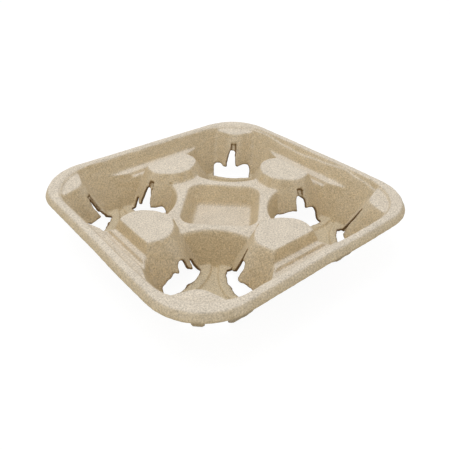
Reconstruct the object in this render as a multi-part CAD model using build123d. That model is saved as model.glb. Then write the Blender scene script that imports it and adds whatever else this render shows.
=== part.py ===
from build123d import *
from math import atan, atan2, cos, degrees, radians, sin, sqrt, tan
import os

os.makedirs("parts", exist_ok=True)

# A moulded pulp carrier tray for four drinks cups: one skin of pressed paper fibre.
# Millimetres, +Z up. The origin is under the tray's centre, on the plane it stands on.

# Whole tray
wall = 2.0
outer_width = 215.0
rim_height = 43.0

# Rim: a rounded crest over a short lip that flares out; the rim is wider round the corners
lip_drop = 6.0
crest_width = 208.0
crest_corner_radius = 38.0
crest_round = 3.0
crest_chamfer = 0.75

# Inner wall under the rim: it leans in and runs down to the well floors
recess_width = 199.5
recess_corner_radius = 42.0
recess_draft = 25.0

# Cup wells, four on a square; each leans outwards as it rises
web_drop = 13.5
well_floor_offset = 51.8
well_floor_radius = 29.7
well_web_offset = 54.8
well_web_radius = 42.2

# Posts at the middle of each side, flat on their outer side
post_offset = 67.9
post_top_radius = 20.0
post_top_drop = 4.7
post_flat_offset = 8.6
post_flat_draft = 20.0
post_draft = 25.5

# Bosses that fill the four corners with a low ledge
corner_offset = 92.0
corner_top_radius = 18.2
corner_top_drop = 3.5

# Ridges on the posts and corner bosses, one towards each well
ridge_reach = 26.8
ridge_width = 10.6
ridge_drop = 10.8
ridge_shoulder = 45.0
ridge_draft = 19.0
ridge_side_draft = 4.0

# Channels between the posts and the inner wall
channel_offset = 85.5
channel_width = 2.0
channel_length = 90.0
channel_depth = 2.6
channel_draft = 28.0

# Pocket in the middle, turned 45 degrees
pocket_floor_width = 42.7
pocket_floor_corner = 4.0
pocket_floor_drop = 29.9
pocket_draft = 23.0

# Low round pads on the well floors, one about each post and boss
pad_radius = 45.9
pad_height = 0.8

# Windows: a blind groove over a narrow slot that opens into a wide mouth at the floor
groove_top_drop = 10.8
groove_depth = 1.0
slot_top_drop = 17.4
slot_top_width = 4.8
slot_foot_width = 6.7
flap_tip_drop = 32.0
flap_tip_width = 4.8
mouth_top_drop = 29.6
mouth_width = 30.6
mouth_reach = 38.0

# Shaping aids: how near two heights count as one, the blunt tip of a well's cone, how far the
# cutting shapes reach below the floor plane, and a lean that is steeper than the lip's own
same_height = 0.01
cone_tip = 0.01
base_level = -8.0
trim_lean = 45.0

sides = (0, 90, 180, 270)
diagonal = 45
web_level = rim_height - web_drop
lip_level = rim_height - lip_drop

# Headings from a post and from a corner boss towards the middle of a well
well_middle = (well_floor_offset + well_web_offset) / 2
post_heading = degrees(atan2(well_middle, well_middle - post_offset))
corner_heading = 180 + diagonal


def slope(angle):
    # Sideways run for each millimetre of height on a face leaning by this angle
    return tan(radians(angle))


def shift(sink, angle):
    # Sideways move of a leaning face when its surface sinks by this much along the normal
    return sink / cos(radians(angle))


def turned(shape, angle):
    return Rot(0, 0, angle) * shape


def drafted(width, corner, z_ref, draft, z_low, z_high):
    # A rounded square block, this wide at z_ref, whose sides lean in by draft as they rise
    grow = (z_ref - z_low) * slope(draft)
    outline = RectangleRounded(width + 2 * grow, width + 2 * grow, corner + grow)
    return extrude(Plane.XY.offset(z_low) * outline, z_high - z_low, taper=draft)


def spun(points):
    # A solid of revolution about Z from (radius, height) points, closed along the axis
    first = (0, points[0][1])
    last = (0, points[-1][1])
    line = Polyline(*[(r, 0, z) for r, z in (first, *points, last)], close=True)
    return revolve(make_face(line), axis=Axis.Z)


def outer_block(sink):
    # Everything inside the lip's outer face, up to the crest of the rim
    top = rim_height - sink
    lean = degrees(atan((outer_width - crest_width) / 2 / lip_drop))
    move = shift(sink, lean)
    block = drafted(
        crest_width - 2 * move, crest_corner_radius - move, rim_height, lean, lip_level, top
    )
    crest = block.edges().filter_by(lambda e: abs(e.center().Z - top) < same_height)
    block = chamfer(crest, crest_chamfer) if sink else fillet(crest, crest_round)
    below = block.faces().sort_by(Axis.Z)[0]
    return block + extrude(below, lip_level - base_level, dir=(0, 0, -1))


def well_cone(sink):
    # A round well before the inner wall cuts it: a cone that leans towards the tray's corner
    rise = web_level - wall
    inner_low = well_floor_offset * sqrt(2) - well_floor_radius
    inner_high = well_web_offset * sqrt(2) - well_web_radius
    outer_low = well_floor_offset * sqrt(2) + well_floor_radius
    outer_high = well_web_offset * sqrt(2) + well_web_radius
    inner_lean = atan((inner_low - inner_high) / rise)
    outer_lean = atan((outer_high - outer_low) / rise)
    half_angle = (inner_lean + outer_lean) / 2
    tilt = degrees((outer_lean - inner_lean) / 2)

    apex_depth = (outer_low - inner_low) / (tan(inner_lean) + tan(outer_lean))
    apex_reach = inner_low + apex_depth * tan(inner_lean)
    length = 2 * (apex_depth + rise)
    cone = spun([(cone_tip, 0), (length * tan(half_angle), length)])
    cone = Pos(0, 0, -sink / sin(half_angle)) * cone
    cone = Pos(apex_reach, 0, wall - apex_depth) * Rot(0, tilt, 0) * cone
    floor = wall - sink
    slab = Box(
        2 * outer_width,
        2 * outer_width,
        web_level + wall - floor,
        align=(Align.CENTER, Align.CENTER, Align.MIN),
    )
    return turned(cone, diagonal) & Pos(0, 0, floor) * slab


def flank(top_radius, top_drop, draft, sink):
    # The round body of a post or corner boss
    top = rim_height - top_drop - sink
    top_at_surface = top_radius - shift(sink, draft)
    return spun(
        [
            (top_at_surface + (top + sink - base_level) * slope(draft), base_level),
            (top_at_surface + sink * slope(draft), top),
        ]
    )


def ridge(top_drop, heading, sink):
    # A flat-fronted ridge on a post or boss, facing a well: steep shoulder over a long draft
    top = rim_height - top_drop - sink
    level = rim_height - ridge_drop
    shoulder = ridge_reach - shift(sink, ridge_shoulder)
    front = ridge_reach - shift(sink, ridge_draft)
    knee = level - (front - shoulder) / (slope(ridge_shoulder) - slope(ridge_draft))
    side = Polyline(
        (0, 0, base_level),
        (front + (level - base_level) * slope(ridge_draft), 0, base_level),
        (front + (level - knee) * slope(ridge_draft), 0, knee),
        (shoulder - (top - level) * slope(ridge_shoulder), 0, top),
        (0, 0, top),
        close=True,
    )
    half = ridge_width / 2 - shift(sink, ridge_side_draft)
    low = half + (level - base_level) * slope(ridge_side_draft)
    high = half - (top - level) * slope(ridge_side_draft)
    face = Polyline(
        (0, -low, base_level), (0, low, base_level), (0, high, top), (0, -high, top), close=True
    )
    body = extrude(make_face(side), 2 * low, both=True)
    body &= extrude(make_face(face), 2 * low + 2 * ridge_reach, both=True)
    return turned(body, heading)


def post(sink):
    # A post on the +X side, cut flat towards the rim
    body = flank(post_top_radius, post_top_drop, post_draft, sink)
    for heading in (-post_heading, post_heading):
        body += ridge(post_top_drop, heading, sink)
    top = rim_height - post_top_drop
    high = post_flat_offset - shift(sink, post_flat_draft)
    low = high + (top - base_level) * slope(post_flat_draft)
    reach = outer_width / 2
    side = Polyline(
        (-reach, 0, base_level), (low, 0, base_level), (high, 0, top), (-reach, 0, top), close=True
    )
    return Pos(post_offset, 0, 0) * (body & extrude(make_face(side), reach, both=True))


def corner_boss(sink):
    # A boss in the (+X, +Y) corner
    body = flank(corner_top_radius, corner_top_drop, post_draft, sink)
    body += ridge(corner_top_drop, corner_heading, sink)
    return Pos(corner_offset, corner_offset, 0) * body


def channel(sink):
    # The free space of the channel beside the +X post
    floor = web_level - channel_depth - sink
    grow = shift(sink, channel_draft) - sink * slope(channel_draft)
    outline = Rectangle(channel_width + 2 * grow, channel_length + 2 * grow)
    space = extrude(Plane.XY.offset(floor) * outline, channel_depth + wall, taper=-channel_draft)
    return Pos(channel_offset, 0, 0) * space


def pocket(sink):
    # The free space of the middle pocket
    floor = rim_height - pocket_floor_drop
    grow = shift(sink, pocket_draft)
    space = drafted(
        pocket_floor_width + 2 * grow,
        pocket_floor_corner + grow,
        floor,
        -pocket_draft,
        floor - sink,
        rim_height,
    )
    return turned(space, diagonal)


def pads():
    # Low round pads that lift the well floors about the +X post and the (+X, +Y) corner boss
    disc = extrude(Plane.XY.offset(wall / 2) * Circle(pad_radius), wall / 2 + pad_height)
    return Pos(post_offset, 0, 0) * disc + Pos(corner_offset, corner_offset, 0) * disc


def mould(sink):
    # The solid under the skin: sink 0 gives the top face, sink wall gives the underside
    space = Pos(0, 0, web_level - sink) * Box(
        outer_width, outer_width, 2 * web_drop, align=(Align.CENTER, Align.CENTER, Align.MIN)
    )
    for angle in sides:
        space += turned(well_cone(sink), angle)
        space += turned(channel(sink), angle)
    grow = shift(sink, recess_draft)
    space &= drafted(
        recess_width + 2 * grow,
        recess_corner_radius + grow,
        rim_height,
        -recess_draft,
        wall - sink,
        rim_height + wall,
    )
    space += pocket(sink)
    for angle in sides:
        space -= turned(post(sink), angle)
        space -= turned(corner_boss(sink), angle)
        if sink == 0:
            space -= turned(pads(), angle)
    return outer_block(sink) - space


def below_lip():
    # Trims the lip off at its lower edge, clear of the inner wall
    inner_half = recess_width / 2 - lip_drop * slope(recess_draft) + shift(wall, recess_draft)
    outer_half = outer_width / 2 - shift(wall, trim_lean)
    half = (inner_half + outer_half) / 2
    corner = recess_corner_radius
    depth = lip_level - base_level + wall
    block = Box(2 * outer_width, 2 * outer_width, depth)
    core = extrude(RectangleRounded(2 * half, 2 * half, corner), depth, both=True)
    return Pos(0, 0, lip_level - depth / 2) * (block - core)


def prism(outline, reach):
    # A cutter seen along +X with this half outline of (half width, height) points
    points = outline + [(-y, z) for y, z in reversed(outline)]
    face = make_face(Polyline(*[(0, y, z) for y, z in points], close=True))
    return extrude(face, amount=reach, dir=(1, 0, 0))


def window(boss, axis_x, axis_y, heading):
    # Cuts one window through the flank of a boss, towards a well
    slot_top = rim_height - slot_top_drop
    half_tip = slot_top_width / 2
    half_foot = slot_foot_width / 2
    outline = [
        (half_tip, slot_top),
        (half_foot, rim_height - flap_tip_drop),
        (half_foot + flap_tip_width, rim_height - mouth_top_drop),
        (mouth_width / 2, rim_height - mouth_top_drop),
        (mouth_width / 2, base_level),
    ]
    disc = extrude(Plane.XY.offset(base_level) * Circle(mouth_reach), rim_height)
    core = extrude(Plane.XY.offset(base_level) * Circle(ridge_reach / 2), rim_height)
    through = (prism(outline, 2 * mouth_reach) & disc) - core
    blind = prism([(half_tip, rim_height - groove_top_drop), (half_tip, slot_top)], mouth_reach)
    place = Pos(axis_x, axis_y, 0)
    return place * turned(through, heading) + (place * turned(blind, heading) - boss(groove_depth))


def tray():
    body = mould(0) - mould(wall) - below_lip()
    for angle in sides:
        body -= turned(window(post, post_offset, 0, post_heading), angle)
        body -= turned(window(post, post_offset, 0, -post_heading), angle)
        body -= turned(window(corner_boss, corner_offset, corner_offset, corner_heading), angle)
    return body


part = tray()
export_step(part, "parts/tray.step")
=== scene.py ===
from math import atan, cos, radians, sin, sqrt, tan

import bpy
import numpy as np
from mathutils import Matrix, Vector
from mathutils.kdtree import KDTree


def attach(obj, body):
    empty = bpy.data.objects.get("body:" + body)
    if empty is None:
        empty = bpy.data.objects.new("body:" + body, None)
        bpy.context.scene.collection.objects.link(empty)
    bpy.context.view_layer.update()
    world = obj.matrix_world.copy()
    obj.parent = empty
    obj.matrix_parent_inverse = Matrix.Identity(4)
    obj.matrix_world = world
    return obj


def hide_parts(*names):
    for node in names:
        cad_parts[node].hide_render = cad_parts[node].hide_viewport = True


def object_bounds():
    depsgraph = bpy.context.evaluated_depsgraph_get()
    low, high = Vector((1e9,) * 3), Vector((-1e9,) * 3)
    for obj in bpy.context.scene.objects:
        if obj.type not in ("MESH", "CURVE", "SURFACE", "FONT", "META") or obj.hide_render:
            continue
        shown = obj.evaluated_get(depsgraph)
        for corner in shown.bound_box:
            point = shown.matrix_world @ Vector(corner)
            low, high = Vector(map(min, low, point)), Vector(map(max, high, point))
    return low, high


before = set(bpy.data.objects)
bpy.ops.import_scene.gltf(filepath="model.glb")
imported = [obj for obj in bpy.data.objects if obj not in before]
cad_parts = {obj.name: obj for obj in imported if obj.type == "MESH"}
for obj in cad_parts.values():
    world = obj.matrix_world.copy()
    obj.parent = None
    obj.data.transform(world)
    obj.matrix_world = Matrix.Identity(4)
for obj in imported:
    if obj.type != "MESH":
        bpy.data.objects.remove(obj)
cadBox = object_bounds()
print("carrier loaded from the frame")


# Camera

viewpoint = {
    "heading": -39.171,        # degrees round the tray, from straight ahead
    "height": 33.954,          # degrees above the horizon
    "roll": 0.114,
    "distance": 0.318836,
    "target": (-0.031718, -0.043368, 0.04575),
    "lens": 38.844,            # on a 36 mm sensor, for a square picture
}


def placeCamera(look):
    heading = radians(look["heading"])
    height = radians(look["height"])
    roll = radians(look["roll"])
    back = Vector((sin(heading) * cos(height), -cos(heading) * cos(height), sin(height)))
    level = Vector((cos(heading), sin(heading), 0))
    upward = back.cross(level)
    right = level * cos(roll) + upward * sin(roll)
    up = upward * cos(roll) - level * sin(roll)
    data = bpy.data.cameras.new("camera")
    data.sensor_width = 36
    data.lens = look["lens"]
    data.clip_start = 0.01
    data.clip_end = 20
    camera = bpy.data.objects.new("camera", data)
    turn = Matrix((right, up, back)).transposed().to_4x4()
    place = Vector(look["target"]) + back * look["distance"]
    camera.matrix_world = Matrix.Translation(place) @ turn
    bpy.context.scene.collection.objects.link(camera)
    bpy.context.scene.camera = camera


placeCamera(viewpoint)
print("camera placed")


# Node helpers

class Wire:
    # one socket, so that shader maths reads as an expression
    def __init__(self, bench, socket):
        self.bench = bench
        self.socket = socket

    def maths(self, operation, first, second, clamp=False):
        return self.bench.node("ShaderNodeMath", {"operation": operation, "use_clamp": clamp},
                               {0: first, 1: second})

    def __add__(self, other):
        return self.maths("ADD", self, other)

    __radd__ = __add__

    def __sub__(self, other):
        return self.maths("SUBTRACT", self, other)

    def __rsub__(self, other):
        return self.maths("SUBTRACT", other, self)

    def __mul__(self, other):
        return self.maths("MULTIPLY", self, other)

    __rmul__ = __mul__

    def __abs__(self):
        return self.maths("ABSOLUTE", self, 0.0)

    def clamped(self):
        return self.maths("ADD", self, 0.0, clamp=True)

    def ramp(self, low, high):
        # 0 at low and 1 at high, eased
        return self.bench.node("ShaderNodeMapRange", {"interpolation_type": "SMOOTHSTEP"},
                               {"Value": self, "From Min": low, "From Max": high})


class Bench:
    # a node tree that is being wired up
    def __init__(self, tree):
        self.tree = tree
        tree.nodes.clear()

    def node(self, kind, settings=None, inputs=None, output=0):
        made = self.tree.nodes.new(kind)
        for name, value in (settings or {}).items():
            setattr(made, name, value)
        for name, value in (inputs or {}).items():
            if isinstance(value, Wire):
                self.tree.links.new(value.socket, made.inputs[name])
            else:
                made.inputs[name].default_value = value
        return Wire(self, made.outputs[output]) if made.outputs else None

    def blend(self, amount, under, over, kind="MIX"):
        # 6, 7 and 2 are the Mix node's two colours and its resulting colour
        return self.node("ShaderNodeMix", {"data_type": "RGBA", "blend_type": kind},
                         {0: amount, 6: under, 7: over}, 2)

    def noise(self, place, size, detail=2.0, roughness=0.55, twist=0.0):
        return self.node("ShaderNodeTexNoise", None, {
            "Vector": place, "Scale": 1 / size, "Detail": detail,
            "Roughness": roughness, "Distortion": twist})


def colour(red, green, blue):
    # a colour given as on screen, 0 to 255, as the linear values that a socket takes
    parts = [value / 255 for value in (red, green, blue)]
    return tuple(((part + 0.055) / 1.055) ** 2.4 for part in parts) + (1.0,)


# Moulded pulp

pulpFinish = {
    "flat": colour(216, 205, 188),       # level faces
    "floor": colour(205, 191, 164),      # painted shade: the same, darker and browner low on the well floors
    "wellShadeHeights": (0.004, 0.014),      # the painted well-floor shade gives way between these heights, in metres
    "steep": colour(203, 184, 149),      # painted shade: upright walls darker and browner than level faces
    "wallShadeFacing": (0.25, 0.9),          # the painted wall shade runs from upright faces to level ones
    "tornAndShade": colour(122, 96, 62),         # dark brown at the windows' edges: partly the torn fibre's own colour, partly painted shade
    "speck": colour(120, 98, 70), "speckShow": 0.6,
    "pale": colour(236, 228, 214), "paleShow": 0.22,
    # sizes of the patterns in metres, and how much each moves the tone
    "grain": 0.001, "grainTone": 1.6,
    "cloud": 0.012, "cloudTone": 0.25,
    "patch": 0.0396, "patchTone": 0.1,
    "fibre": 0.0042, "fibreWidth": 0.016,
    "fibreGroups": 0.00714, "fibreBand": (0.52, 0.62),
    "specks": 0.0031, "speckEdge": (0.07, 0.16),
    "speckGroups": 0.006, "speckBand": (0.50, 0.66),
    "tone": 1.01,
    "roughness": 0.93, "specular": 0.25,
    # how much of each pattern stands up from the surface; the specks are pits
    "bump": 0.0006, "bumpStrength": 0.6,
    "cloudRelief": 0.55, "fibreRelief": 0.25, "speckRelief": 0.4,
}


def makePulp(finish):
    material = bpy.data.materials.new("mouldedPulp")
    material.use_nodes = True
    bench = Bench(material.node_tree)
    place = bench.node("ShaderNodeTexCoord", output="Object")
    normal = bench.node("ShaderNodeNewGeometry", output="Normal")
    facing = bench.node("ShaderNodeSeparateXYZ", None, {"Vector": normal}, "Z")
    height = bench.node("ShaderNodeSeparateXYZ", None, {"Vector": place}, "Z")
    tornAndShade = bench.node("ShaderNodeAttribute", {"attribute_name": "tornAndShade"}, None, "Fac")

    grain = bench.noise(place, finish["grain"], detail=3.0, roughness=0.65)
    cloud = bench.noise(place, finish["cloud"], detail=3.0, roughness=0.6)
    patch = bench.noise(place, finish["patch"])
    strand = bench.noise(place, finish["fibre"], roughness=0.5, twist=0.9)
    fibre = 1 - abs(strand - 0.5).ramp(0.0, finish["fibreWidth"])
    bunched = bench.noise(place, finish["fibreGroups"], detail=1.0)
    fibre = fibre * bunched.ramp(*finish["fibreBand"])
    dots = bench.node("ShaderNodeTexVoronoi", {"feature": "F1"},
                      {"Vector": place, "Scale": 1 / finish["specks"], "Randomness": 1.0})
    speck = 1 - dots.ramp(*finish["speckEdge"])
    bunched = bench.noise(place, finish["speckGroups"], detail=1.0)
    speck = speck * bunched.ramp(*finish["speckBand"])

    # painted shade: the more upright a face, the more it takes the darker steep colour
    steep = 1 - abs(facing).ramp(*finish["wallShadeFacing"])
    # painted shade: browner low down in the wells
    body = bench.blend(height.ramp(*finish["wellShadeHeights"]), finish["floor"], finish["flat"])
    body = bench.blend(steep, body, finish["steep"])
    # dark edge colour: torn fibre, and painted shade on cut faces and groove sides
    body = bench.blend(tornAndShade.clamped(), body, finish["tornAndShade"])
    body = bench.blend(speck * finish["speckShow"], body, finish["speck"])
    body = bench.blend(fibre * finish["paleShow"], body, finish["pale"])
    tone = finish["tone"] + finish["grainTone"] * (grain - 0.5)
    tone = tone + finish["cloudTone"] * (cloud - 0.5) + finish["patchTone"] * (patch - 0.5)
    grey = bench.node("ShaderNodeCombineColor", None, {"Red": tone, "Green": tone, "Blue": tone})
    body = bench.blend(1.0, body, grey, "MULTIPLY")

    relief = grain + finish["cloudRelief"] * cloud + finish["fibreRelief"] * fibre
    relief = relief - finish["speckRelief"] * speck
    bump = bench.node("ShaderNodeBump", None, {
        "Strength": finish["bumpStrength"], "Distance": finish["bump"], "Height": relief})
    shader = bench.node("ShaderNodeBsdfPrincipled", None, {
        "Base Color": body, "Roughness": finish["roughness"],
        "Specular IOR Level": finish["specular"], "Normal": bump})
    bench.node("ShaderNodeOutputMaterial", None, {0: shader})
    return material


# Mesh helpers

def cloudNoise(points, size, seed, repeat=24):
    # smooth noise from -1 to 1 at each point; it starts again after so many cells
    cells = np.random.default_rng(seed).random((repeat, repeat, repeat))
    spot = points / size
    base = np.floor(spot).astype(int)
    part = spot - base
    part = part * part * (3 - 2 * part)
    total = np.zeros(len(points))
    for corner in np.ndindex(2, 2, 2):
        near = np.where(corner, part, 1 - part).prod(axis=1)
        cell = (base + corner) % repeat
        total += near * cells[cell[:, 0], cell[:, 1], cell[:, 2]]
    return 2 * total - 1


def readPoints(mesh):
    points = np.zeros(len(mesh.vertices) * 3, np.float32)
    mesh.vertices.foreach_get("co", points)
    return points.reshape(-1, 3).astype(float)


def writePoints(mesh, points):
    mesh.vertices.foreach_set("co", points.astype(np.float32).ravel())
    mesh.update()


def readNormals(mesh):
    normals = np.zeros(len(mesh.vertices) * 3, np.float32)
    mesh.vertex_normals.foreach_get("vector", normals)
    return normals.reshape(-1, 3).astype(float)


def readEdges(mesh):
    ends = np.zeros(len(mesh.edges) * 2, np.int32)
    mesh.edges.foreach_get("vertices", ends)
    return ends.reshape(-1, 2)


def averaged(values, ends, counts):
    # each value's mean over its neighbours
    total = np.zeros_like(values)
    for column in range(values.shape[1]):
        total[:, column] = (
            np.bincount(ends[:, 0], values[ends[:, 1], column], len(values))
            + np.bincount(ends[:, 1], values[ends[:, 0], column], len(values)))
    return total / counts[:, None]


def applied(piece, kind, settings):
    # gives the piece the mesh that one modifier makes of it
    modifier = piece.modifiers.new(kind.lower(), kind)
    for name, value in settings.items():
        setattr(modifier, name, value)
    bpy.context.view_layer.update()
    solved = piece.evaluated_get(bpy.context.evaluated_depsgraph_get())
    mesh = bpy.data.meshes.new_from_object(solved)
    piece.modifiers.clear()
    piece.data = mesh


# The tray's skin: its top face is a height over each point. Lengths are in millimetres, and
# drafts are degrees from upright

halfWidth, rimHeight = [round(cadBox[1][axis] * 1000, 3) for axis in (0, 2)]

trayForm = {
    "skin": 2.0,
    "rimHeight": rimHeight,
    # rounded squares, as half width and corner radius: the lip's lower edge, the crest of the
    # rim, and the wall inside it
    "lip": (halfWidth, 41.0), "lipDrop": 6.0, "lipRound": 1.2,
    "crest": (104.0, 38.0), "crestFullness": 1.15, "crestRound": 0.35,
    "wall": (99.75, 42.0), "wallDraft": 25.0, "wallRound": 1.6,
    "footRound": 0.32, "footHeights": (3, 9),  # the wall meets the well floors crisply
    # the small ledge inside the rim bead: its width, how far below the crest it runs at some
    # turns round the tray, and how it wavers: height, waves all round and start
    "stepWidth": 0.65,
    "stepTurns": [-3.1, -2.4, -1.6, -1.0, -0.62, -0.36, -0.17, 0,
                  0.16, 0.35, 0.5, 0.8, 1.2, 2.1, 2.6, 3.1],
    "stepDrops": [2.2, 1.6, 1.8, 3.0, 5.1, 2.0, 3.5, 4.5, 5.2, 4.2, 2.6, 1.6, 1.1, 1.0, 1.8, 2.2],
    "stepWaver": [(0.15, 23, 0), (0.1, 41, 1)],
    # the web between the wells, and its edge beside the wall, on to where that runs out
    "webLevel": 29.5, "webRound": 4.2,
    "shelf": (88.0, 29.0, 93.4, 45.0), "shelfSlope": 2.3,
    # wells: how far out along both sides the middle is, and the radius
    "wellLow": (53.4, 31.6), "wellHigh": (54.8, 42.2),
    "channelPlace": 85.5, "channelHalf": (1.0, 45.0), "channelFloor": 26.9,
    "channelDraft": 28.0, "channelRound": 0.96,
    "pocket": (21.8, 4.0), "pocketFloor": 13.1, "pocketDraft": 24.0,
    "pocketRound": 2.2, "pocketFloorRound": 2.0,
    "postPlace": 67.9, "postRadius": 20.0, "postTop": 38.3, "postDraft": 25.5,
    "postFlat": 8.6, "postFlatDraft": 20.0, "postHeading": 105.4,
    "bossPlace": 92.0, "bossRadius": 18.2, "bossTop": 39.5, "bossBack": 6.5, "bossHeading": 225,
    "bossRound": 4.0, "topRound": 1.5,
    "ridgeReach": 25.0, "ridgeLevel": 31.2, "ridgeDraft": 30.0, "ridgeCurve": 0.045,
    "ridgeToe": 12.0, "ridgeToeSlope": 3, "ridgeRound": 3.5,
    "padRadius": 45.9, "padHeight": 2.0, "padRamp": 1.2,
    "grid": 0.45, "easing": 4,         # spacing of the points, and passes that ease the normals
}


def softMin(first, second, width):
    lean = np.clip(width - abs(first - second), 0, None) / width
    return np.minimum(first, second) - lean * lean * width / 4


def softMax(first, second, width):
    return -softMin(-first, -second, width)


def rise(draft):
    # height gained for each millimetre sideways on a face that leans by this angle
    return 1 / tan(radians(draft))


def outside(x, y, square):
    # distance outside a rounded square of (half width, corner radius)
    half, corner = square
    across = abs(x) - half + corner
    along = abs(y) - half + corner
    beyond = np.hypot(np.maximum(across, 0), np.maximum(along, 0))
    return beyond + np.minimum(np.maximum(across, along), 0) - corner


def wellHeight(form, x, y):
    # a round cone that leans towards the tray's corner
    along = (x + y) / sqrt(2)
    across = (y - x) / sqrt(2)
    lowPlace, lowRadius = form["wellLow"]
    highPlace, highRadius = form["wellHigh"]
    tall = form["webLevel"] - form["skin"]
    innerLow = lowPlace * sqrt(2) - lowRadius
    outerLow = lowPlace * sqrt(2) + lowRadius
    innerRun = (innerLow - highPlace * sqrt(2) + highRadius) / tall
    outerRun = (highPlace * sqrt(2) + highRadius - outerLow) / tall
    halfAngle = (atan(innerRun) + atan(outerRun)) / 2
    tilt = (atan(outerRun) - atan(innerRun)) / 2
    depth = (outerLow - innerLow) / (innerRun + outerRun)
    along = along - innerLow - depth * innerRun
    square = cos(tilt) ** 2 - cos(halfAngle) ** 2
    linear = 2 * along * sin(tilt) * cos(tilt)
    fixed = (along * sin(tilt)) ** 2 - cos(halfAngle) ** 2 * (along ** 2 + across ** 2)
    # the height over the cone's tip solves a quadratic with these three terms
    root = (np.sqrt(linear * linear - 4 * square * fixed) - linear) / (2 * square)
    return form["skin"] - depth + root


def ridgeHeight(form, x, y, heading):
    # a blunt nose that grows out of a post on its way down, and ends in a steep toe
    turn = radians(heading)
    reach = x * cos(turn) + y * sin(turn)
    aside = y * cos(turn) - x * sin(turn)
    out = reach + form["ridgeCurve"] * aside * aside - form["ridgeReach"]
    toe = form["ridgeToeSlope"] * np.maximum(out - form["ridgeToe"], 0)
    return np.where(reach > 0, form["ridgeLevel"] - out * rise(form["ridgeDraft"]) - toe, 0)


def moundHeight(form, x, y, radius, top, headings, back=0):
    # a post; one that stands further back is blunter, with its front in the same place
    body = top - (np.hypot(x - back, y - back) - radius - back * sqrt(2)) * rise(form["postDraft"])
    for heading in headings:
        body = softMax(body, ridgeHeight(form, x, y, heading), form["ridgeRound"])
    return softMin(top, body, form["topRound"])


def rimWallHeight(form, x, y):
    # the wall under the rim, with a small wavering ledge just inside the bead
    out = outside(x, y, form["wall"])
    turn = np.arctan2(y, x)
    drop = np.interp(turn, form["stepTurns"], form["stepDrops"])
    for tall, waves, begin in form["stepWaver"]:
        drop += tall * np.sin(waves * turn + begin)
    ledge = -drop / rise(form["wallDraft"])
    half = form["stepWidth"] / 2
    gap = out - ledge
    stepped = ledge + np.sign(gap) * np.maximum(abs(gap) - half, 0)
    return form["rimHeight"] + stepped * rise(form["wallDraft"])


def shelfHeight(form, across, along):
    startAcross, startAlong, endAcross, endAlong = form["shelf"]
    edge = np.interp(along, [startAlong, endAlong], [startAcross, endAcross])
    runOut = np.maximum(along - endAlong, 0)
    return form["webLevel"] - (np.maximum(edge - across, 0) + runOut) * form["shelfSlope"]


def channelHeight(form, across, along):
    halfAcross, halfAlong = form["channelHalf"]
    out = np.maximum(abs(across - form["channelPlace"]) - halfAcross, along - halfAlong)
    return form["channelFloor"] + np.maximum(out, 0) * rise(form["channelDraft"])


def pocketHeight(form, x, y):
    # the pocket in the middle is turned by half a right angle
    out = outside((x + y) / sqrt(2), (y - x) / sqrt(2), form["pocket"])
    out = softMax(out, 0, form["pocketFloorRound"])
    return form["pocketFloor"] + out * rise(form["pocketDraft"])


def padLevel(form, x, y):
    # the well floors, lifted round each post and boss
    post, boss = form["postPlace"], form["bossPlace"]
    away = np.minimum(np.hypot(x - post, y), np.hypot(x, y - post))
    away = np.minimum(away, np.hypot(x - boss, y - boss))
    lift = np.clip((form["padRadius"] - away) / form["padRamp"], 0, 1)
    return form["skin"] + form["padHeight"] * lift


def postHeight(form, across, along):
    # a post in the middle of a side, cut flat towards the wall
    across = across - form["postPlace"]
    headings = (form["postHeading"], -form["postHeading"])
    post = moundHeight(form, across, along, form["postRadius"], form["postTop"], headings)
    flat = form["postTop"] - (across - form["postFlat"]) * rise(form["postFlatDraft"])
    return softMin(post, flat, form["topRound"])


def bossHeight(form, x, y):
    return moundHeight(form, x - form["bossPlace"], y - form["bossPlace"], form["bossRadius"],
                       form["bossTop"], (form["bossHeading"],), form["bossBack"])


def beadHeight(form, x, y):
    # the rim's crest and the lip that flares out from it, wider round the corners
    toLip = -outside(x, y, form["lip"])
    toCrest = np.maximum(outside(x, y, form["crest"]), 0)
    share = np.clip(toLip, 0, None) / np.maximum(toLip + toCrest, 0.01)
    rounded = softMin(1.0, share * form["crestFullness"], form["crestRound"])
    return form["rimHeight"] - form["lipDrop"] * (1 - rounded)


def skinHeight(form, x, y):
    near = form["wallRound"]
    wall = rimWallHeight(form, x, y)
    bead = beadHeight(form, x, y)
    x, y = abs(x), abs(y)
    sides = ((x, y), (y, x))
    height = softMax(wellHeight(form, x, y), form["skin"], near)
    height = softMin(form["webLevel"], height, form["webRound"])
    for across, along in sides:
        height = softMax(height, shelfHeight(form, across, along), near)
        height = softMin(height, channelHeight(form, across, along), form["channelRound"])
    foot = np.interp(height, form["footHeights"], [form["footRound"], near])
    height = softMax(height, wall, foot)
    height = softMin(height, pocketHeight(form, x, y), form["pocketRound"])
    height = np.maximum(height, padLevel(form, x, y))
    for across, along in sides:
        height = softMax(height, postHeight(form, across, along), near)
    height = softMax(height, bossHeight(form, x, y), form["bossRound"])
    return softMin(height, bead, form["lipRound"])


# Windows: each outline is (sideways, height) as seen from its well, down one side of the slot,
# round the mouth and back up the other side

windowForm = {
    "core": 14.0,                             # how near a post's middle a cut may come
    "margin": 6.0,                            # how far round a window its gap is worked out
    "grooveHalf": 2.4, "grooveDepth": 1.4, "grooveReach": 34.0,
    "sideBlur": 0.4, "endBlur": 0.6,          # how softly a groove's sides and its top begin
    "grooveShadeDepth": 0.9, "grooveShadeGap": 0.3,     # painted shade: dark lines down its sides, clear of the window
    "rag": 0.35, "ragSize": 2.2, "ragSeed": 41,
}

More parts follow.
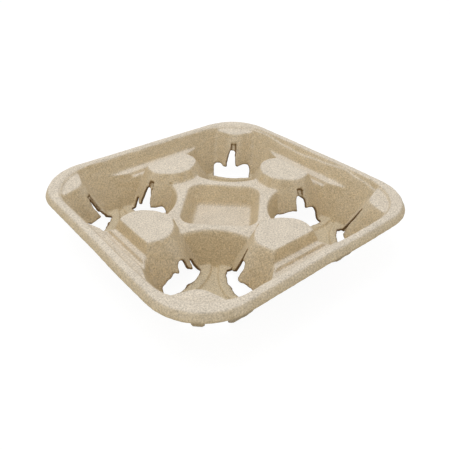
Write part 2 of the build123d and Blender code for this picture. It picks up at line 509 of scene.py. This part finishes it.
backWindow = [
    (-3, 25.9), (-4.2, 22.6), (-5.1, 19.3), (-5.9, 14.7), (-6.1, 11.5), (-8.8, 11.2),
    (-10.1, 11.8), (-12.4, 13.1), (-16.4, 12.5), (-17.8, 10.5), (-17.9, -9), (16.3, -9),
    (16, 8.2), (15.3, 11.6), (14, 12.6), (9.6, 13.3), (7.3, 13), (5.3, 12.3), (3.3, 13.6),
    (2.7, 15.6), (2.4, 20.2), (1.9, 24.7), (0.4, 26.1),
]
leftWindow = [
    (-2.6, 27), (-3, 25.6), (-4.3, 21.1), (-3.9, 17), (-3.6, 13.9), (-4.3, 13.1), (-8.1, 12.6),
    (-10.9, 12.2), (-13, 11.7), (-14.4, 13.4), (-17, 13), (-18, -9), (15, -9), (13, 3.2),
    (10.9, 4.2), (6, 7.6), (2.8, 10.8), (0.6, 14.2), (0.4, 18.2), (0.7, 23.2), (0.4, 27),
]
rightWindow = [
    (-0.9, 31), (-0.8, 28), (-0.8, 22), (-1.3, 17), (-2, 13.7), (-3, 11.2), (-6, 7.5),
    (-11, 4.6), (-15, 3.4), (-15.5, -9), (17, -9), (16.5, 6.2), (13, 7.5), (8, 8.2), (6, 8.8),
    (4.2, 9.7), (3.4, 10.8), (2.8, 12.6), (1.6, 15), (1, 19), (0.9, 25), (0.5, 31),
]
backLeftWindow = [
    (-3.6, 26.1), (-4.7, 23.2), (-5.6, 19.5), (-6.2, 16.6), (-7.1, 14), (-7.2, 11.7),
    (-10.4, 9.5), (-12.3, 9.9), (-13.4, 12.6), (-15, 13), (-16.2, 12), (-16.8, 9), (-17, -9),
    (17.5, -9), (17.3, 8), (16.2, 11), (14.6, 12.6), (13.1, 13.1), (9.6, 12.4), (4.9, 12.1),
    (4.3, 13.9), (3.4, 16.7), (1.7, 21.1), (-0.5, 25.5), (-1.9, 26.1),
]
backRightWindow = [
    (-3.8, 26.3), (-5, 21.1), (-5.3, 17.9), (-5.3, 15.6), (-8.8, 15.4), (-14.3, 13.2),
    (-18, 12.2), (-24, 13.5), (-28, 12), (-29, -9), (14.5, -9), (14.8, 4), (15.1, 8),
    (14.9, 10), (14.2, 12), (11.7, 13.9), (8.2, 15.6), (5.5, 16.2), (3.2, 16.5), (2.8, 17.7),
    (3.2, 21.1), (3.1, 22.9), (2, 24.6), (-1.1, 26.3),
]
frontLeftWindow = [
    (-0.6, 21.4), (-2.8, 19.6), (-3.1, 18), (-3.6, 16.2), (-4.4, 14.8), (-5.4, 15.2),
    (-6.5, 15.8), (-7.5, 15.4), (-8.5, 14.3), (-9.4, 13.2), (-12.5, 12.2), (-13.8, 11.1),
    (-15.4, 10.1), (-16.5, 9.3), (-17.4, 7.6), (-18, 4), (-18, -9), (18, -9), (17.5, 5),
    (15.8, 9), (14.6, 12), (12.5, 14.3), (11.4, 12.7), (11.5, 9.8), (11.2, 8.2), (5.4, 13),
    (4.8, 14.5), (4.4, 17.3), (4, 19.6), (2.6, 21.2),
]
frontRightWindow = [
    (-5.2, 23), (-5.7, 21.3), (-5.7, 19.2), (-5.7, 17.1), (-6, 14.7), (-7.7, 11.5),
    (-14.4, 6.1), (-16.8, 5.5), (-18.6, 6.5), (-19.5, 2), (-19.5, -9), (17, -9), (16.8, 6.5),
    (15.8, 9.8), (10.1, 10.9), (8.1, 11.4), (5.2, 11.5), (3.5, 11.8), (1.9, 12.4), (1.4, 13.4),
    (2, 14.5), (2.1, 16.5), (2.2, 18.3), (2, 20.3), (0.9, 22.6), (-0.9, 22.9), (-2.7, 22.4),
    (-3.6, 23.4), (-5.1, 29.1), (-6.1, 28.8),
]
plainWindow = [
    (-2.4, 25.6), (-2.7, 18), (-3.4, 11.6), (-6, 10.8), (-8.3, 13.2), (-14.5, 13.4),
    (-15.4, 11), (-15.6, -9), (15.6, -9), (15.5, 10.5), (14.6, 13.3), (9, 13.1), (6.4, 11.3),
    (3.5, 11.2), (2.9, 17), (2.4, 25.6),
]


def mirrored(outline):
    return [(-aside, height) for aside, height in reversed(outline)]


windows = [
    # boss or post, heading, reach of the mouth, top of the groove over the slot, outline
    ((92, 92), 225, 41.5, 31.3, backWindow),
    ((-92, 92), 315, 38.4, 29.6, leftWindow),
    ((92, -92), 135, 39.8, 0, rightWindow),
    ((-92, -92), 45, 38.4, 0, mirrored(plainWindow)),
    ((0, 67.9), 195.4, 38.2, 31.0, backLeftWindow),
    ((67.9, 0), 254.6, 40.5, 31.0, backRightWindow),
    ((-67.9, 0), 285.4, 38.2, 0, frontLeftWindow),
    ((0, -67.9), 164.6, 39.3, 0, frontRightWindow),
    ((0, 67.9), 344.6, 38.6, 31.4, plainWindow),
    ((67.9, 0), 105.4, 38.0, 31.2, mirrored(backLeftWindow)),
    ((-67.9, 0), 74.6, 38.8, 30.8, mirrored(plainWindow)),
    ((0, -67.9), 15.4, 38.3, 31.3, plainWindow),
]


def outsideOutline(aside, height, outline):
    # distance outside a closed outline, less than 0 within it
    nearest = np.full(len(aside), np.inf)
    within = np.zeros(len(aside), bool)
    for (startX, startY), (endX, endY) in zip(outline, outline[1:] + outline[:1]):
        alongX, alongY = endX - startX, endY - startY
        fromX, fromY = aside - startX, height - startY
        share = np.clip((fromX * alongX + fromY * alongY) / (alongX ** 2 + alongY ** 2), 0, 1)
        nearest = np.minimum(nearest, np.hypot(fromX - share * alongX, fromY - share * alongY))
        crosses = (startY > height) != (endY > height)
        level = fromX * alongY - fromY * alongX
        within ^= crosses & ((level < 0) == (alongY > 0))
    return np.where(within, -nearest, nearest)


def inBossFrame(points, place, heading):
    turn = radians(heading)
    x = points[:, 0] - place[0]
    y = points[:, 1] - place[1]
    return x * cos(turn) + y * sin(turn), y * cos(turn) - x * sin(turn)


def windowGap(form, points):
    # how far each point of the skin is outside every window
    gap = np.full(len(points), 99.0)
    for place, heading, reach, _, outline in windows:
        ahead, aside = inBossFrame(points, place, heading)
        spread = np.hypot(ahead, aside)
        close = np.flatnonzero((spread < reach + form["margin"])
                               & (ahead > form["core"] - form["margin"]))
        cut = outsideOutline(aside[close], points[close, 2], outline)
        cut = np.maximum(cut, spread[close] - reach)
        cut = np.maximum(cut, form["core"] - ahead[close])
        gap[close] = np.minimum(gap[close], cut)
    return gap + form["rag"] * cloudNoise(points, form["ragSize"], form["ragSeed"])


def grooveDepth(form, points):
    # the blind groove above each slot
    depth = np.zeros(len(points))
    for place, heading, _, top, _ in windows:
        ahead, aside = inBossFrame(points, place, heading)
        across = np.clip((form["grooveHalf"] - abs(aside)) / form["sideBlur"] + 0.5, 0, 1)
        upward = np.clip((top - points[:, 2]) / form["endBlur"] + 0.5, 0, 1)
        close = (ahead > form["core"]) & (ahead < form["grooveReach"])
        depth = np.maximum(depth, across * upward * close * form["grooveDepth"])
    return depth


# The flap that hangs from the front window down to the ground, as stations of
# (ahead, height, one side, other side) in that boss's frame

frontFlap = {
    "place": (-92, -92), "heading": 45, "thick": 1.8,
    "stations": [(37.0, 15.0, 4.0, 9.0), (34.5, 10.0, 2.5, 9.0), (32.0, 5.0, 0.5, 8.8),
                 (30.4, 1.6, -1.0, 8.4), (29.8, 0.2, 0.6, 7.0)],
}


def makeFlap(shape):
    turn = radians(shape["heading"])
    corners = []
    for ahead, height, low, high in shape["stations"]:
        for reach, aside in ((ahead, low), (ahead, high),
                             (ahead - shape["thick"], high), (ahead - shape["thick"], low)):
            corners.append((shape["place"][0] + reach * cos(turn) - aside * sin(turn),
                            shape["place"][1] + reach * sin(turn) + aside * cos(turn), height))
    last = len(corners) - 4
    faces = [(0, 1, 2), (0, 2, 3), (last, last + 2, last + 1), (last, last + 3, last + 2)]
    for start in range(0, last, 4):
        for side in range(4):
            a, b = start + side, start + (side + 1) % 4
            faces += [(a, a + 4, b + 4), (a, b + 4, b)]
    return np.array(corners), np.array(faces)


def cutSheet(sheets, faces, gap, least=0.04):
    # trims triangles to where gap is above 0, but leaves no sliver under the least share; gives
    # the sheets' points, the faces and the new edge
    keep = gap > 0
    count = keep[faces].sum(axis=1)
    whole = faces[count == 3]
    pieces = []
    for wanted in (1, 2):
        part = faces[count == wanted]
        odd = np.argmax(keep[part] if wanted == 1 else ~keep[part], axis=1)
        rows = np.arange(len(part))
        pieces.append(np.stack([part[rows, (odd + turn) % 3] for turn in range(3)], axis=1))
    pairs = [np.sort(rolled[:, [0, side]], axis=1) for rolled in pieces for side in (1, 2)]
    flat = np.concatenate(pairs)
    unique, place = np.unique(flat, axis=0, return_inverse=True)
    place = place.ravel() + len(gap)
    share = gap[unique[:, 0]] / (gap[unique[:, 0]] - gap[unique[:, 1]])
    share = np.clip(share, least, 1 - least)[:, None]
    grown = []
    for sheet in sheets:
        crossings = sheet[unique[:, 0]] * (1 - share) + sheet[unique[:, 1]] * share
        grown.append(np.concatenate([sheet, crossings]))
    sizes = np.cumsum([0] + [len(pair) for pair in pairs])
    aB, aC, bB, bC = [place[sizes[i]:sizes[i + 1]] for i in range(4)]
    lone, duo = pieces
    made = np.concatenate([
        whole,
        np.stack([lone[:, 0], aB, aC], axis=1),
        np.stack([bB, duo[:, 1], duo[:, 2]], axis=1),
        np.stack([bB, duo[:, 2], bC], axis=1)])
    ends = np.concatenate([np.stack([aB, aC], axis=1), np.stack([bC, bB], axis=1)])
    return grown, made, ends


def makeSkin(form, openings):
    # the closed skin: top sheet, underside, and the strips that join them at every edge; with it
    # go points along all window edges and groove sides, where the edge colour and painted shade go
    reach = form["lip"][0] + 3 * form["grid"]
    ticks = np.arange(-reach, reach, form["grid"])
    lines = len(ticks)
    x, y = [grid.ravel() for grid in np.meshgrid(ticks, ticks)]
    top = np.stack([x, y, skinHeight(form, x, y)], axis=1)
    eased = top[:, 2].reshape(lines, lines).copy()
    for step in range(form["easing"]):
        eased[1:-1, 1:-1] = (eased[:-2, 1:-1] + eased[2:, 1:-1]
                             + eased[1:-1, :-2] + eased[1:-1, 2:]) / 4
    slopeY, slopeX = np.gradient(eased, form["grid"])
    normal = np.stack([-slopeX.ravel(), -slopeY.ravel(), np.ones(lines * lines)], axis=1)
    normal /= np.linalg.norm(normal, axis=1)[:, None]
    gap = np.minimum(windowGap(openings, top), -outside(x, y, form["lip"]))
    depth = grooveDepth(openings, top)
    top -= normal * depth[:, None]
    under = top - normal * form["skin"]
    # painted shade: points just under the groove's sides, round which the edge colour darkens it
    side = (abs(depth / openings["grooveDepth"] - 0.5) < 0.4) & (gap > openings["grooveShadeGap"])
    grooveShade = top[side] - normal[side] * openings["grooveShadeDepth"]

    corner = np.arange(lines * lines).reshape(lines, lines)
    a, b = corner[:-1, :-1].ravel(), corner[:-1, 1:].ravel()
    c, d = corner[1:, 1:].ravel(), corner[1:, :-1].ravel()
    faces = np.concatenate([np.stack([a, b, c], axis=1), np.stack([a, c, d], axis=1)])
    (top, under), faces, ends = cutSheet([top, under], faces, gap)
    below = len(top)
    points = np.concatenate([top, under])
    strips = np.concatenate([
        np.stack([ends[:, 0], ends[:, 0] + below, ends[:, 1] + below], axis=1),
        np.stack([ends[:, 0], ends[:, 1] + below, ends[:, 1]], axis=1)])
    faces = np.concatenate([faces, faces[:, ::-1] + below, strips])
    used, renumbered = np.unique(faces, return_inverse=True)
    edge = np.unique(ends)
    middles = (points[edge] + points[edge + below]) / 2
    return points[used], renumbered.reshape(-1, 3), np.concatenate([middles, grooveShade])


trayFinish = {
    "voxel": 0.42,
    "roundings": 3, "rounding": 0.6,
    # how far the whole skin wanders from true, and the unevenness of the surface itself
    "sway": 0.35, "swaySize": 34.0, "swaySeed": 10,
    "lump": 0.12, "lumpSize": 3.2, "lumpSeed": 5,
    "triangles": 192000,
    # edge colour and painted shade fade out this far from a window edge, and keep off the lip
    "tornAndShadeReach": 1.35, "tornAndShadeFade": 0.5, "lipKept": 4.0,
}


def swayAt(finish, points):
    drift = [cloudNoise(points, finish["swaySize"], finish["swaySeed"] + axis) for axis in range(3)]
    return finish["sway"] * np.stack(drift, axis=1)


def lumpAt(finish, points):
    lump = cloudNoise(points, finish["lumpSize"], finish["lumpSeed"])
    lump += 0.5 * cloudNoise(points, finish["lumpSize"] / 2, finish["lumpSeed"] + 1)
    return finish["lump"] * lump[:, None]


def tornAndShadeAt(form, finish, points, tornAndShadeSpots):
    # 1 at a window edge or groove side, for the edge colour and painted shade, and 0 away from it
    tree = KDTree(len(tornAndShadeSpots))
    for number, spot in enumerate(tornAndShadeSpots):
        tree.insert(spot, number)
    tree.balance()
    away = np.array([tree.find(spot)[2] for spot in points])
    atLip = -outside(points[:, 0], points[:, 1], form["lip"]) < finish["lipKept"]
    return np.clip((finish["tornAndShadeReach"] - away) / finish["tornAndShadeFade"], 0, 1) * ~atLip


def makeTray(form, openings, flap, finish):
    points, faces, tornAndShadeSpots = makeSkin(form, openings)
    hanging, sides = makeFlap(flap)
    faces = np.concatenate([faces, sides + len(points)])
    points = np.concatenate([points, hanging])
    mesh = bpy.data.meshes.new("pulpTray")
    mesh.from_pydata(points.tolist(), [], faces.tolist())
    tray = bpy.data.objects.new("pulpTray", mesh)
    bpy.context.scene.collection.objects.link(tray)
    print("skin laid:", len(faces), "triangles")

    applied(tray, "REMESH", {"mode": "VOXEL", "voxel_size": finish["voxel"]})
    points = readPoints(tray.data)
    ends = readEdges(tray.data)
    counts = np.bincount(ends.ravel(), minlength=len(points)).astype(float)
    for step in range(finish["roundings"]):
        points += finish["rounding"] * (averaged(points, ends, counts) - points)
    writePoints(tray.data, points)
    print("remeshed:", len(tray.data.polygons), "faces")

    points += readNormals(tray.data) * lumpAt(finish, points)
    points += swayAt(finish, points)
    tornAndShadeSpots += swayAt(finish, tornAndShadeSpots)
    writePoints(tray.data, points)

    share = finish["triangles"] / (2 * len(tray.data.polygons))
    applied(tray, "DECIMATE", {"ratio": share})
    low, high = [np.array(corner) * 1000 for corner in cadBox]
    points = np.clip(readPoints(tray.data), low, high)
    writePoints(tray.data, points)

    # edge colour and painted shade round window edges and groove sides
    layer = tray.data.attributes.new("tornAndShade", "FLOAT", "POINT")
    tornAndShade = tornAndShadeAt(form, finish, points, tornAndShadeSpots)
    layer.data.foreach_set("value", tornAndShade.astype(np.float32))
    tray.data.transform(Matrix.Scale(0.001, 4))
    tray.data.polygons.foreach_set("use_smooth", [True] * len(tray.data.polygons))
    print("tray finished:", len(tray.data.polygons), "triangles")
    return tray


tray = makeTray(trayForm, windowForm, frontFlap, trayFinish)
tray.data.materials.append(makePulp(pulpFinish))
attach(tray, "root")
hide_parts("tray")
print("tray done")


# Floor, backdrop and lights

studio = {
    "floorSize": 3.0,
    "floorColour": (0.62, 0.62, 0.62, 1.0),
    "floorShade": (0.12, 0.12, 0.12, 1.0),
    "floorGlow": 0.93,          # what the camera sees on top of that shade
    "sky": 0.62,
    "skyColour": (1.0, 0.995, 0.985, 1.0),
    "lamps": [                  # name, place, size and power
        ("above", (-0.15, 0.25, 1.35), 1.0, 7.4),
        ("front", (-0.8, -0.95, 0.7), 0.9, 1.3),
    ],
}


def seenDirectly(bench):
    # 1 for rays that show the backdrop itself
    total = 0.0
    for kind in ("Is Camera Ray", "Is Glossy Ray", "Is Transmission Ray"):
        total = bench.node("ShaderNodeLightPath", output=kind) + total
    return total.clamped()


def makeFloor(look):
    half = look["floorSize"] / 2
    mesh = bpy.data.meshes.new("floor")
    mesh.from_pydata([(-half, -half, 0), (half, -half, 0), (half, half, 0), (-half, half, 0)],
                     [], [(0, 1, 2, 3)])
    floor = bpy.data.objects.new("floor", mesh)
    bpy.context.scene.collection.objects.link(floor)
    material = bpy.data.materials.new("paleFloor")
    material.use_nodes = True
    bench = Bench(material.node_tree)
    plain = bench.node("ShaderNodeBsdfDiffuse", None, {"Color": look["floorColour"]})
    glow = bench.node("ShaderNodeEmission", None,
                      {"Color": (1.0, 1.0, 1.0, 1.0), "Strength": look["floorGlow"]})
    dim = bench.node("ShaderNodeBsdfDiffuse", None, {"Color": look["floorShade"]})
    lit = bench.node("ShaderNodeAddShader", None, {0: dim, 1: glow})
    surface = bench.node("ShaderNodeMixShader", None, {0: seenDirectly(bench), 1: plain, 2: lit})
    bench.node("ShaderNodeOutputMaterial", None, {0: surface})
    mesh.materials.append(material)


def makeLight(look):
    world = bpy.data.worlds.new("studio")
    bpy.context.scene.world = world
    world.use_nodes = True
    bench = Bench(world.node_tree)
    sky = bench.node("ShaderNodeBackground", None,
                     {"Color": look["skyColour"], "Strength": look["sky"]})
    white = bench.node("ShaderNodeBackground", None,
                       {"Color": (1.0, 1.0, 1.0, 1.0), "Strength": 1.0})
    mixed = bench.node("ShaderNodeMixShader", None, {0: seenDirectly(bench), 1: sky, 2: white})
    bench.node("ShaderNodeOutputWorld", None, {0: mixed})
    for name, spot, size, power in look["lamps"]:
        data = bpy.data.lights.new(name, "AREA")
        data.size = size
        data.energy = power
        lamp = bpy.data.objects.new(name, data)
        lamp.location = spot
        lamp.rotation_euler = (-Vector(spot)).to_track_quat("-Z", "Y").to_euler()
        bpy.context.scene.collection.objects.link(lamp)


makeFloor(studio)
makeLight(studio)
bpy.context.scene.view_settings.view_transform = "Standard"
print("studio lit")
